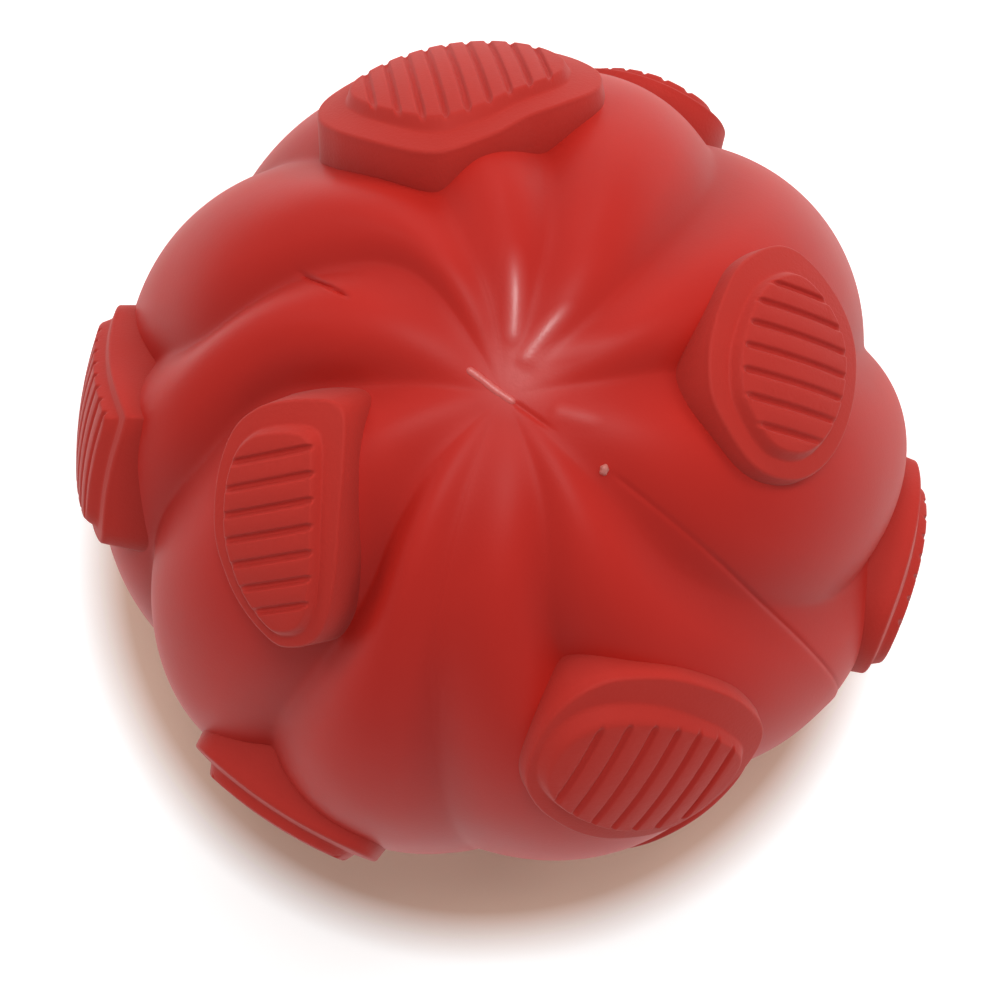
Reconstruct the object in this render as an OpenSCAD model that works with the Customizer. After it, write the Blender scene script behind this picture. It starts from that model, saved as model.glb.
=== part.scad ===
/* [Ball] */
// Diameter of the ball over its ribbed treads
tread_d = 100; // [94:1:120]
// Height of a ribbed tread above its plinth
tread_h = 1.1; // [0.6:0.1:2]
// Height of a plinth above the crests of the lobes
plinth_h = 1.6; // [0.8:0.1:2.6]

/* [Swirled lobes] */
// Depth of a full furrow between two lobes
furrow_depth = 3; // [1:0.1:3.6]
// Width of a lobe at which the furrow beside it is mostly at full depth
deep_lobe_w = 12; // [6:1:20]
// Depth of the dimple at each eye of the swirl
dimple_depth = 3.4; // [1:0.1:3.6]
// Reach of that dimple along the surface, from the eye outward
dimple_reach = 13; // [9:1:16]

/* [Treat chamber and port] */
// Thickness of the rubber wall under the crest of a lobe
wall_t = 10.3; // [8:0.1:18]
// Diameter of the treat port
port_d = 18; // [12:1:22]
// Depth below the crests of the flats that it stands on
flat_depth = 3.3; // [2.9:0.1:4.3]

/* [Oval pads] */
// Width of an oval tread, along its grooves
oval_w = 14.4; // [10:0.2:16]
// Length of an oval tread, across its grooves
oval_l = 19; // [14:0.2:22]
// Border of the plinth round an oval tread, along the grooves and across them
oval_border = [2.8, 2.9]; // [1:0.1:4]
// Shift of that plinth from its tread, away from the upper eye and along the tread
oval_shift = [0.3, 0.8]; // [-1.5:0.1:1.5]
// Distance from one groove to the next on an oval tread
oval_pitch = 2.5; // [1.6:0.1:4]

/* [Narrow pads] */
// Width of a narrow tread, along its grooves
narrow_w = 11.8; // [9:0.2:15]
// Length of a narrow tread, across its grooves
narrow_l = 19.6; // [14:0.2:22]
// Border of the plinth round a narrow tread, along the grooves and across them
narrow_border = [2.4, 2.1]; // [1:0.1:3.5]
// Shift of that plinth from its tread, away from the upper eye and along the tread
narrow_shift = [-0.5, -0.5]; // [-1.5:0.1:1.5]
// Distance from one groove to the next on a narrow tread
narrow_pitch = 2.4; // [1.6:0.1:4]

/* [Long pads] */
// Width of a long tread, along its grooves
long_w = 16; // [12:0.2:18]
// Length of a long tread, across its grooves
long_l = 22.2; // [18:0.2:26]
// Border of the plinth round a long tread, along the grooves and across them
long_border = [3.7, 2]; // [1:0.1:4.5]
// Shift of that plinth from its tread, away from the upper eye and along the tread
long_shift = [-0.4, 0.4]; // [-1.5:0.1:1.5]
// Distance from one groove to the next on a long tread
long_pitch = 2.7; // [1.6:0.1:4]

/* [Kite pads] */
// Width of a kite tread, along its grooves, from its corner outward
kite_w = 21.6; // [18:0.2:26]
// Length of a kite tread, across its grooves
kite_l = 23.2; // [18:0.2:26]
// Border of the plinth round a kite tread, along the grooves and across them
kite_border = [3.5, 3.6]; // [1:0.1:5.5]
// Distance from one groove to the next on a kite tread
kite_pitch = 2.3; // [1.6:0.1:4]

/* [Cornered pads] */
// Width of a cornered tread, along its grooves
corner_w = 15.2; // [12:0.2:18]
// Length of a cornered tread, across its grooves
corner_l = 22.4; // [16:0.2:25]
// Border of the plinth round a cornered tread, along the grooves and across them
corner_border = [1.6, 1.8]; // [1:0.1:3.5]
// Distance from one groove to the next on a cornered tread
corner_pitch = 2.4; // [1.6:0.1:4]

/* [Broad pads] */
// Width of a broad tread, along its grooves
broad_w = 18.8; // [14:0.2:22]
// Length of a broad tread, across its grooves
broad_l = 20; // [16:0.2:24]
// Border of the plinth round a broad tread, along the grooves and across them
broad_border = [2.8, 3.2]; // [1:0.1:4]
// Distance from one groove to the next on a broad tread
broad_pitch = 2.6; // [1.6:0.1:4]

/* [Grooves] */
// Width of a tread groove
groove_w = 0.8; // [0.4:0.1:1.2]
// Depth of a tread groove
groove_d = 0.5; // [0.3:0.1:1]

/* [Hidden] */

shell_red = [0.77, 0.21, 0.19];
pad_red = [0.72, 0.24, 0.22];

tread_r = tread_d / 2;
plinth_r = tread_r - tread_h;
crest_r = plinth_r - plinth_h;
groove_floor_r = tread_r - groove_d;
chamber_r = crest_r - wall_t;
stand_h = crest_r - flat_depth;
// Radius that lies under every furrow, where the pads' blocks start before they are cut back
under_r = crest_r - 2 * furrow_depth;
// One overrun serves every cut
overrun = tread_d / 20;

// The ball is centred on the origin. The swirl's two eyes lie on the Z axis, and the port is at the
// lower one. Angles from the upper eye run from 0 to 180, and turns about Z start at +X.
// The parting plane holds the Z axis and this turn.
parting_angle = -36;
rings = 48;
turns = 96;
ring_step = 180 / rings;
turn_step = 360 / turns;

// Turn of each furrow at these angles from the upper eye, one row for each of the ten furrows
furrow_angles = [0, 10, 20, 30, 45, 60, 75, 90];
furrow_turns = [
    [8, 8, 9, 10, 11, 13, 16, 19],
    [40, 41, 43, 45, 48, 53, 58, 63],
    [70, 72, 75, 79, 84, 89, 93, 97],
    [92, 97, 104, 108, 120.5, 128, 134.5, 141.5],
    [120, 121, 127, 143, 163, 168, 172, 177],
    [168, 172, 175, 177, 188, 195, 204, 212],
    [219, 222, 229, 234, 233, 232, 233, 236],
    [247, 249, 252, 254, 258, 261, 264, 267],
    [296, 291, 284, 282, 288, 295, 302, 308],
    [320, 318, 317, 317, 324, 333, 347, 358]
];
furrow_count = len(furrow_turns);
// Depth of each furrow as a share of a full one
furrow_shares = [0.9, 0.95, 0.9, 0.95, 1, 1.1, 1.1, 0.7, 1.05, 0.8];
// Below the equator the furrows sweep on to places spaced evenly round the lower eye, from this turn
lower_angle = 61;
// Shape of a lobe's cross-section far from the eyes and at one. At 1 it is a parabola with a sharp
// furrow on each side. More gives a narrower ridge and a soft furrow.
far_share = 0.95;
eye_share = 1.7;
// Angle from an eye over which the first takes over from the second
blend_angle = 45;
// Power by which a furrow grows as its lobes widen. More leaves the eyes smoother.
furrow_fade = 2.6;

// Outlines as shares of half the tread's width and of half its length. The first number of a point
// runs along the grooves, away from the upper eye.
oval_shares = [
    [1, 0.28], [0.84, 0.64], [0.44, 0.93], [0.05, 1], [-0.38, 0.83], [-0.72, 0.54], [-0.98, 0.02],
    [-0.98, -0.42], [-0.78, -0.7], [-0.4, -0.95], [0, -1], [0.38, -0.9], [0.71, -0.62], [0.93, -0.19]
];
narrow_shares = [
    [-1, -0.72], [-0.9, -0.87], [-0.6, -0.94], [-0.2, -0.97], [0.15, -0.95], [0.5, -0.82], [0.8, -0.5],
    [1, -0.05], [0.98, 0.3], [0.86, 0.62], [0.58, 0.93], [0.3, 1], [0, 0.97], [-0.25, 0.82],
    [-0.44, 0.6], [-0.6, 0.35], [-0.76, 0], [-0.9, -0.34]
];
long_shares = [
    [1, 0.25], [0.93, 0.6], [0.7, 0.82], [0.35, 0.94], [-0.1, 1], [-0.42, 0.95], [-0.66, 0.74],
    [-0.88, 0.38], [-1, -0.15], [-0.93, -0.58], [-0.76, -0.82], [-0.46, -0.97], [-0.1, -1],
    [0.3, -0.92], [0.6, -0.7], [0.82, -0.38], [0.96, -0.05]
];
kite_shares = [
    [-1, 0.2], [-0.96, 0.34], [-0.85, 0.49], [-0.7, 0.63], [-0.52, 0.77], [-0.3, 0.9], [0, 0.99],
    [0.34, 0.93], [0.62, 0.66], [0.82, 0.38], [0.98, 0], [0.92, -0.4], [0.62, -0.78], [0.2, -1],
    [-0.14, -0.98], [-0.36, -0.87], [-0.57, -0.63], [-0.72, -0.4], [-0.88, -0.18], [-0.97, 0.04]
];
corner_shares = [
    [-1, 0.86], [-0.9, 0.98], [-0.4, 1], [0.3, 1], [0.74, 0.97], [0.95, 0.82], [1, 0.4], [0.97, -0.35],
    [0.74, -0.8], [0.3, -1], [-0.3, -1], [-0.78, -0.97], [-0.96, -0.8], [-1, -0.4], [-1, 0.2]
];
broad_shares = [
    [1, 0.5], [0.85, 0.86], [0.4, 1], [-0.4, 1], [-0.88, 0.82], [-1, 0.3], [-0.97, -0.4],
    [-0.75, -0.85], [-0.2, -1], [0.4, -0.98], [0.86, -0.75], [1, -0.2]
];

// A kind of pad: outline shares, tread width, tread length, border, pitch and the plinth's shift
oval = [oval_shares, oval_w, oval_l, oval_border, oval_pitch, oval_shift];
narrow = [narrow_shares, narrow_w, narrow_l, narrow_border, narrow_pitch, narrow_shift];
long = [long_shares, long_w, long_l, long_border, long_pitch, long_shift];
kite = [kite_shares, kite_w, kite_l, kite_border, kite_pitch, [0, 0]];
cornered = [corner_shares, corner_w, corner_l, corner_border, corner_pitch, [0, 0]];
broad = [broad_shares, broad_w, broad_l, broad_border, broad_pitch, [0, 0]];

// Where each pad lies: its angle from the upper eye, its turn about Z, and the lean of its grooves
// from the line that runs straight away from the eye
pad_a_angles = [35.4, 8.3, -14];
pad_b_angles = [30.6, -149.2, -22];
pad_c_angles = [52, -68.9, -38.5];
pad_d_angles = [48.5, 97.8, 3];
pad_e_angles = [71, 176.6, 47.5];
pad_f_angles = [90.5, -122.3, 89];
pad_g_angles = [87, -16.6, -16];
pad_h_angles = [88.7, 69.5, -23];
pad_j_angles = [113, -63, -20];
pad_k_angles = [122, 109, -10];
pad_l_angles = [141, -172, 10];
pad_m_angles = [141, 22, 10];

// Smooth curve through the values at the furrow angles
function interval(x, i = 0) =
    i >= len(furrow_angles) - 2 || x < furrow_angles[i + 1] ? i : interval(x, i + 1);
function slope(v, i) =
    let (a = max(i - 1, 0), b = min(i + 1, len(v) - 1))
    (v[b] - v[a]) / (furrow_angles[b] - furrow_angles[a]);
function blend(v, i, span, t) =
    v[i] * (2 * t * t * t - 3 * t * t + 1)
    + v[i + 1] * (3 * t * t - 2 * t * t * t)
    + span * slope(v, i) * (t * t * t - 2 * t * t + t)
    + span * slope(v, i + 1) * (t * t * t - t * t);
function smooth(v, x) =
    let (i = interval(x), span = furrow_angles[i + 1] - furrow_angles[i])
    blend(v, i, span, (x - furrow_angles[i]) / span);

function lower_sweep(k, angle) =
    let (start = furrow_turns[k][len(furrow_angles) - 1], end = lower_angle + k * 360 / furrow_count)
    start + (end - start) * (angle - 90) / 90;
function furrow_turn(k, angle) =
    angle <= 90 ? smooth(furrow_turns[k], angle) : lower_sweep(k, angle);

// Radius of the lobed surface, from the furrows' turns at that angle
function from_eye(angle) = min(angle, 180 - angle);
function arc_len(angle) = crest_r * angle * PI / 180;
function dimple(angle) = dimple_depth * exp(-pow(arc_len(from_eye(angle)) / dimple_reach, 2));
function lobe_share(angle) =
    far_share + (eye_share - far_share) * exp(-pow(from_eye(angle) / blend_angle, 2));
function next_turn(row, k) = k < furrow_count - 1 ? row[k + 1] : row[0] + 360;
function last_turn(row, k) = k > 0 ? row[k - 1] : row[furrow_count - 1] - 360;
// Share of a full furrow's depth that one has at an angle, by the width of the lobes beside it
function depth_share(row, k, angle) =
    let (lobe_w = arc_len((next_turn(row, k) - last_turn(row, k)) / 2) * sin(angle))
    furrow_shares[k] * (1 - exp(-pow(lobe_w / deep_lobe_w, furrow_fade)));
function furrow(row, angle, turn) =
    let (
        local = row[0] + (turn - row[0]) - 360 * floor((turn - row[0]) / 360),
        k = len([for (f = row) if (f <= local) f]) - 1,
        t = (local - row[k]) / (next_turn(row, k) - row[k]),
        here_share = depth_share(row, k, angle),
        next_share = depth_share(row, (k + 1) % furrow_count, angle)
    )
    furrow_depth * (here_share * (1 - t) + next_share * t) * (1 - pow(4 * t * (1 - t), lobe_share(angle)));
function surface_r(row, angle, turn) = crest_r - dimple(angle) - furrow(row, angle, turn);

furrow_rows = [
    for (i = [0 : rings])
        [for (k = [0 : furrow_count - 1]) furrow_turn(k, i * ring_step)]
];
function surface_point(i, j) =
    let (
        angle = i * ring_step,
        turn = parting_angle + j * turn_step,
        r = surface_r(furrow_rows[i], angle, turn)
    )
    [r * sin(angle) * cos(turn), r * sin(angle) * sin(turn), r * cos(angle)];

// A solid half of the lobed ball, from column j0 of the surface round to column j0 + turns / 2
module solid_half(j0) {
    cols = turns / 2 + 1;
    pts = concat(
        [[0, 0, crest_r - dimple(0)], [0, 0, dimple(180) - crest_r]],
        [for (i = [1 : rings - 1]) for (j = [0 : cols - 1]) surface_point(i, j0 + j)]
    );
    function at(i, j) = 2 + (i - 1) * cols + j;
    skin = [
        for (i = [1 : rings - 2]) for (j = [0 : cols - 2])
            each [
                [at(i, j), at(i, j + 1), at(i + 1, j + 1)],
                [at(i, j), at(i + 1, j + 1), at(i + 1, j)]
            ]
    ];
    upper = [for (j = [0 : cols - 2]) [0, at(1, j + 1), at(1, j)]];
    lower = [for (j = [0 : cols - 2]) [at(rings - 1, j), at(rings - 1, j + 1), 1]];
    flat = concat(
        [0],
        [for (i = [1 : rings - 1]) at(i, 0)],
        [1],
        [for (i = [rings - 1 : -1 : 1]) at(i, cols - 1)]
    );
    polyhedron(pts, concat(skin, upper, lower, [flat]), convexity = 6);
}

// The lobed surface within reach of a place on it, brought to a point at the ball's centre
module solid_patch(angle, turn, reach) {
    spread = asin(min(reach / under_r, 1));
    turn_spread = asin(min(sin(spread) / sin(angle), 1));
    i0 = max(1, floor((angle - spread) / ring_step));
    i1 = min(rings - 1, ceil((angle + spread) / ring_step));
    j0 = floor((turn - turn_spread - parting_angle) / turn_step);
    j1 = ceil((turn + turn_spread - parting_angle) / turn_step);
    cols = j1 - j0 + 1;
    pts = concat([[0, 0, 0]], [for (i = [i0 : i1]) for (j = [j0 : j1]) surface_point(i, j)]);
    function at(i, j) = 1 + (i - i0) * cols + j - j0;
    skin = [
        for (i = [i0 : i1 - 1]) for (j = [j0 : j1 - 1])
            each [
                [at(i, j), at(i, j + 1), at(i + 1, j + 1)],
                [at(i, j), at(i + 1, j + 1), at(i + 1, j)]
            ]
    ];
    ends = [
        for (j = [j0 : j1 - 1])
            each [[at(i0, j + 1), at(i0, j), 0], [at(i1, j), at(i1, j + 1), 0]]
    ];
    sides = [
        for (i = [i0 : i1 - 1])
            each [[at(i + 1, j1), at(i, j1), 0], [at(i, j0), at(i + 1, j0), 0]]
    ];
    polyhedron(pts, concat(skin, ends, sides), convexity = 6);
}

module shell_half(j0) {
    difference() {
        solid_half(j0);
        sphere(r = chamber_r, $fn = 200);
        translate([0, 0, -tread_r - overrun])
            cylinder(d = port_d, h = tread_r + overrun, $fn = 200);
        translate([-tread_r, -tread_r, -stand_h - tread_r])
            cube([tread_d, tread_d, tread_r]);
    }
}

module shell_half_a() {
    color(shell_red) shell_half(0);
}

module shell_half_b() {
    color(shell_red) shell_half(turns / 2);
}

// Closed smooth curve through points, with this many steps from each to the next
outline_steps = 3;
function curve_point(p, i, t) =
    let (n = len(p), a = p[(i + n - 1) % n], b = p[i], c = p[(i + 1) % n], d = p[(i + 2) % n])
    (2 * b + (c - a) * t + (2 * a - 5 * b + 4 * c - d) * t * t + (3 * b - a - 3 * c + d) * t * t * t) / 2;
function curve(p) =
    [for (i = [0 : len(p) - 1]) for (s = [0 : outline_steps - 1]) curve_point(p, i, s / outline_steps)];
// A pad's outline with a border round its tread, this wide along the grooves and across them
function outline(kind, border) =
    curve([for (p = kind[0]) [p[0] * (kind[1] / 2 + border[0]), p[1] * (kind[2] / 2 + border[1])]]);

function pad_reach(kind) = max([for (p = outline(kind, kind[3])) norm(p + kind[5])]);

module pad_prism(kind, border, shift) {
    translate([shift[0], shift[1], sqrt(under_r * under_r - pad_reach(kind) * pad_reach(kind))])
        linear_extrude(tread_r) polygon(outline(kind, border));
}

// Grooves run across the tread at even places, and their floors follow the ball
module grooves(kind) {
    pitch = kind[4];
    half_count = floor((kind[2] / 2 - groove_w) / pitch);
    difference() {
        for (i = [-half_count : half_count])
            translate([-kind[1], i * pitch - groove_w / 2, 0])
                cube([2 * kind[1], groove_w, tread_r + overrun]);
        sphere(r = groove_floor_r, $fn = 200);
    }
}

module pad_block(kind) {
    intersection() {
        pad_prism(kind, kind[3], kind[5]);
        sphere(r = plinth_r, $fn = 200);
    }
    difference() {
        intersection() {
            pad_prism(kind, [0, 0], [0, 0]);
            sphere(r = tread_r, $fn = 200);
        }
        grooves(kind);
    }
}

// A pad turned to its place, and cut back to the lobed surface
module tread_pad(kind, angles) {
    color(pad_red)
        difference() {
            rotate([0, angles[0], angles[1]]) rotate(angles[2]) pad_block(kind);
            solid_patch(angles[0], angles[1], pad_reach(kind));
        }
}

module tread_pad_a() {
    tread_pad(oval, pad_a_angles);
}

module tread_pad_b() {
    tread_pad(narrow, pad_b_angles);
}

module tread_pad_c() {
    tread_pad(long, pad_c_angles);
}

module tread_pad_d() {
    tread_pad(kite, pad_d_angles);
}

module tread_pad_e() {
    tread_pad(cornered, pad_e_angles);
}

module tread_pad_f() {
    tread_pad(broad, pad_f_angles);
}

module tread_pad_g() {
    tread_pad(long, pad_g_angles);
}

module tread_pad_h() {
    tread_pad(oval, pad_h_angles);
}

module tread_pad_j() {
    tread_pad(long, pad_j_angles);
}

module tread_pad_k() {
    tread_pad(kite, pad_k_angles);
}

module tread_pad_l() {
    tread_pad(oval, pad_l_angles);
}

module tread_pad_m() {
    tread_pad(narrow, pad_m_angles);
}

shell_half_a();
shell_half_b();
tread_pad_a();
tread_pad_b();
tread_pad_c();
tread_pad_d();
tread_pad_e();
tread_pad_f();
tread_pad_g();
tread_pad_h();
tread_pad_j();
tread_pad_k();
tread_pad_l();
tread_pad_m();
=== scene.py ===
"""Looks of the treat dispensing ball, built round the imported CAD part. Sizes are in millimetres and
degrees until a mesh is made, and then in metres, in the part's own frame."""

import math

import bpy
import numpy as np
from mathutils import Matrix, Vector
from mathutils.geometry import delaunay_2d_cdt


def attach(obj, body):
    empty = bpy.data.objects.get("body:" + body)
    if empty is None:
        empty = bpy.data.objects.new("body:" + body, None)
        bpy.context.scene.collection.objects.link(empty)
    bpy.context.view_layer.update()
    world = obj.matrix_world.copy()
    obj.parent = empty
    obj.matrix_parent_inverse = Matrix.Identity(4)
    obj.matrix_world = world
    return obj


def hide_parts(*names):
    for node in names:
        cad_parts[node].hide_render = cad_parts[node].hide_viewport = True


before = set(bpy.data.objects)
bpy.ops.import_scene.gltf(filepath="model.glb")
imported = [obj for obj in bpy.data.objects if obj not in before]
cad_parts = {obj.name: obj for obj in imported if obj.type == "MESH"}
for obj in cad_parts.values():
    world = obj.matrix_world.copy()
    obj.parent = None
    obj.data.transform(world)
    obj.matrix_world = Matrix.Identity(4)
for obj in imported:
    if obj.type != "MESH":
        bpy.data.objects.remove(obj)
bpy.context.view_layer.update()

MM = 0.001
TINY = 1e-9
EQUATOR = 90.0

# The ball, as in the part's source
TREAD_R = 50.0
TREAD_H = 1.1
PLINTH_R = TREAD_R - TREAD_H
PLINTH_H = 1.6
CREST_R = PLINTH_R - PLINTH_H
FURROW_DEPTH = 3.0
DEEP_LOBE_W = 12.0
DIMPLE_DEPTH = 3.4
DIMPLE_REACH = 13.0
CHAMBER_R = 37.0
PORT_R = 9.0
STAND_H = 44.0
PARTING_TURN = -36.0

# Each furrow's turn round the axis at these angles from the upper eye, and its share of the full depth
FURROW_ANGLES = np.array([0, 10, 20, 30, 45, 60, 75, 90], float)
FURROW_TURNS = np.array([
    [8, 8, 9, 10, 11, 13, 16, 19],
    [40, 41, 43, 45, 48, 53, 58, 63],
    [70, 72, 75, 79, 84, 89, 93, 97],
    [92, 97, 104, 108, 120.5, 128, 134.5, 141.5],
    [120, 121, 127, 143, 163, 168, 172, 177],
    [168, 172, 175, 177, 188, 195, 204, 212],
    [219, 222, 229, 234, 233, 232, 233, 236],
    [247, 249, 252, 254, 258, 261, 264, 267],
    [296, 291, 284, 282, 288, 295, 302, 308],
    [320, 318, 317, 317, 324, 333, 347, 358],
], float)
FURROW_SHARES = np.array([0.9, 0.95, 0.9, 0.95, 1, 1.1, 1.1, 0.7, 1.05, 0.8])
FURROW_COUNT = len(FURROW_TURNS)
# Where the first furrow meets the lower eye
LOWER_TURN = 61.0
# How full the lobes are, away from the eyes and at them, and how far from an eye that changes
FAR_SHARE = 0.95
EYE_SHARE = 1.7
BLEND_ANGLE = 45.0
FURROW_FADE = 2.6
# A furrow's bottom is rounded over this width, up to a share of its lobe
SOFT_BOTTOM_W = 1.6
SOFT_BOTTOM_SHARE = 0.12
LEAST_LOBE_W = 0.01

GROOVE_W = 0.8
GROOVE_D = 0.5


# The lobed surface

def furrow_turns_at(angle):
    """Turn of every furrow at each of these angles from the upper eye: one column a furrow."""
    angle = np.asarray(angle, float)
    near = np.clip(angle, 0, EQUATOR)
    last = len(FURROW_ANGLES) - 1
    i = np.clip(np.searchsorted(FURROW_ANGLES, near, side="right") - 1, 0, last - 1)
    low, high = FURROW_ANGLES[i], FURROW_ANGLES[i + 1]
    span = high - low
    t = ((near - low) / span)[..., None]
    before = np.maximum(i - 1, 0)
    after = np.minimum(i + 1, last)
    after2 = np.minimum(i + 2, last)
    v = FURROW_TURNS.T
    slope0 = (v[after] - v[before]) / (FURROW_ANGLES[after] - FURROW_ANGLES[before])[..., None]
    slope1 = (v[after2] - v[i]) / (FURROW_ANGLES[after2] - FURROW_ANGLES[i])[..., None]
    smooth = (
        v[i] * (2 * t**3 - 3 * t**2 + 1)
        + v[i + 1] * (3 * t**2 - 2 * t**3)
        + span[..., None] * slope0 * (t**3 - 2 * t**2 + t)
        + span[..., None] * slope1 * (t**3 - t**2)
    )
    # Below the equator the furrows sweep on to even places round the lower eye
    ends = LOWER_TURN + np.arange(FURROW_COUNT) * 360 / FURROW_COUNT
    sweep = (np.maximum(angle, EQUATOR) - EQUATOR)[..., None] / EQUATOR
    lower = FURROW_TURNS[:, -1] * (1 - sweep) + ends * sweep
    return np.where((angle <= EQUATOR)[..., None], smooth, lower)


def surface_r(angle, turn):
    """Radius of the lobed surface in each direction."""
    angle, turn = np.broadcast_arrays(np.asarray(angle, float), np.asarray(turn, float))
    rows = furrow_turns_at(angle)
    # The furrows on either side of the point, and the share t of the way from one to the other
    local = rows[..., 0] + np.mod(turn - rows[..., 0], 360)
    k = np.clip((rows <= local[..., None] + TINY).sum(-1) - 1, 0, FURROW_COUNT - 1)
    here = np.take_along_axis(rows, k[..., None], -1)[..., 0]
    nxt = np.take_along_axis(rows, ((k + 1) % FURROW_COUNT)[..., None], -1)[..., 0]
    nxt = np.where(k == FURROW_COUNT - 1, nxt + 360, nxt)
    t = np.clip((local - here) / (nxt - here), 0, 1)
    around = CREST_R * np.sin(np.radians(angle))
    lobe_w = around * np.radians(nxt - here)
    # A furrow between narrow lobes is shallower
    after = np.concatenate([rows[..., 1:], rows[..., :1] + 360], -1)
    before = np.concatenate([rows[..., -1:] - 360, rows[..., :-1]], -1)
    wide = around[..., None] * np.radians((after - before) / 2)
    shares = FURROW_SHARES * (1 - np.exp(-((wide / DEEP_LOBE_W) ** FURROW_FADE)))
    here_share = np.take_along_axis(shares, k[..., None], -1)[..., 0]
    next_share = np.take_along_axis(shares, ((k + 1) % FURROW_COUNT)[..., None], -1)[..., 0]
    from_eye = np.minimum(angle, 180 - angle)
    power = FAR_SHARE + (EYE_SHARE - FAR_SHARE) * np.exp(-((from_eye / BLEND_ANGLE) ** 2))
    # The furrow's bottom is rounded a little, where the solid's is sharp
    arch = 4 * t * (1 - t)
    soft = np.minimum(SOFT_BOTTOM_W / np.maximum(lobe_w, LEAST_LOBE_W), SOFT_BOTTOM_SHARE)
    arch = (np.sqrt(arch**2 + soft**2) - soft) / (np.sqrt(1 + soft**2) - soft)
    depth = FURROW_DEPTH * (here_share * (1 - t) + next_share * t) * (1 - arch**power)
    near = CREST_R * np.radians(from_eye) / DIMPLE_REACH
    return CREST_R - DIMPLE_DEPTH * np.exp(-near * near) - depth


def direction(angle, turn):
    a, p = np.radians(angle), np.radians(turn)
    return np.stack([np.sin(a) * np.cos(p), np.sin(a) * np.sin(p), np.cos(a) * np.ones_like(p)], -1)


def angles_of(points):
    r = np.linalg.norm(points, axis=-1)
    angle = np.degrees(np.arccos(np.clip(points[..., 2] / r, -1, 1)))
    return angle, np.degrees(np.arctan2(points[..., 1], points[..., 0]))


# Meshes

def make_object(name, points_mm, faces, material, smooth_angle):
    mesh = bpy.data.meshes.new(name)
    mesh.from_pydata((np.asarray(points_mm) * MM).tolist(), [], faces)
    mesh.update()
    mesh.validate()
    mesh.shade_smooth()
    obj = bpy.data.objects.new(name, mesh)
    bpy.context.scene.collection.objects.link(obj)
    mesh.materials.append(material)
    mesh.set_sharp_from_angle(angle=math.radians(smooth_angle))
    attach(obj, "root")
    return obj


def point_values(obj, name, first, values):
    """Give the points from the first on a value that the material reads. The others have none."""
    data = np.zeros(len(obj.data.vertices), np.float32)
    data[first:first + values.size] = values.ravel()
    obj.data.attributes.new(name, "FLOAT", "POINT").data.foreach_set("value", data)


def fade(x, low, high):
    t = np.clip((x - low) / (high - low), 0, 1)
    return t * t * (3 - 2 * t)


# Polished beads along the tops of four lobes near the eye: two ends as angle and turn, height, half
# width and share of polish
BEADS = [
    ((6.6, 81), (19.0, 85.5), 0.08, 0.85, 0.9), ((4.4, 63), (14.2, 53), 0.1, 0.85, 1.0),
    ((4.6, 44), (16.5, 27), 0.08, 1.1, 0.35), ((6.2, -17), (13.0, -15), 0.06, 0.9, 0.3),
]
# The shares of a bead's length over which it comes in and goes out
BEAD_IN, BEAD_OUT = (-0.08, 0.12), (0.45, 1.1)
# The polished patch beside the eye: its share of polish, its middle and its reach
EYE_POLISH = 0.5
EYE_POLISH_AT = (2.2, 3.2)
EYE_POLISH_REACH = 4.6


def beads(angle, turn):
    """Height of the beads near the eye, and a mask of the polished rubber there."""
    east, north = angle * np.cos(np.radians(turn)), angle * np.sin(np.radians(turn))
    away = np.hypot(east - EYE_POLISH_AT[0], north - EYE_POLISH_AT[1]) / EYE_POLISH_REACH
    up, polish = np.zeros_like(east), EYE_POLISH * np.exp(-(away ** 2))
    for (a0, t0), (a1, t1), height, width, shine in BEADS:
        along = (angle - a0) / (a1 - a0)
        middle = t0 + (t1 - t0) * along
        off = (turn - middle + 180) % 360 - 180
        away = CREST_R * np.sin(np.radians(angle)) * np.radians(off)
        ends = fade(along, *BEAD_IN) * (1 - fade(along, *BEAD_OUT))
        shape = ends * np.exp(-((away / width) ** 2))
        up += height * shape
        polish = np.maximum(polish, shine * shape)
    return up, polish


# The two sides of the parting line. A dip or step there is its size, the angles from the eye between
# which it comes in, and those between which it goes out
NIB_SIDE, SCRATCH_SIDE = 0, 1
NO_END = (180, 181)
LINE_DIPS = [(0.13, (1.2, 2.2), (5, 8.5)), (0.12, (15, 19), NO_END), (0.1, (30, 36), (62, 72))]
LINE_STEP = (0.2, (30, 62), (84, 100))
LINE_HALF_W = 0.3
# A scratch runs along the other side, a little off the line
SCRATCH_DIPS = [(0.5, (21.6, 24.5), (30, 34.5))]
SCRATCH_STEP = (0.08, (20, 23), (31, 34))
SCRATCH_HALF_W = 0.22
SCRATCH_OFF = 0.9
# The dips are fainter far from the eye, and the step dies away beside the line
FAINT_SHARE, FAINT_FROM = 0.6, (110, 150)
STEP_REACH = 2.2


def stretch(angle, size, comes, goes):
    return size * fade(angle, *comes) * (1 - fade(angle, *goes))


def parting_shape(angle, side, away_mm, proud):
    """How far the surface dips beside the parting line, or stands proud of the other half."""
    if side == NIB_SIDE:
        dips, step, half_w, place = LINE_DIPS, LINE_STEP, LINE_HALF_W, 0
    else:
        dips, step, half_w = SCRATCH_DIPS, SCRATCH_STEP, SCRATCH_HALF_W
        place = SCRATCH_OFF if proud else -SCRATCH_OFF
    dip = sum(stretch(angle, *each) for each in dips) * (1 - FAINT_SHARE * fade(angle, *FAINT_FROM))
    raised = stretch(angle, *step) * np.exp(-((away_mm / STEP_REACH) ** 2)) if proud else 0
    return raised - dip * np.exp(-(((away_mm - place) / half_w) ** 2))


# The grid of a half shell: columns are turns, and are close beside the parting plane
EDGE_COLUMNS = np.array([0, 0.08, 0.16, 0.26, 0.4, 0.6, 0.9, 1.3])
INNER_COLUMNS = np.arange(1.8, 178.21, 0.49)
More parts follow.
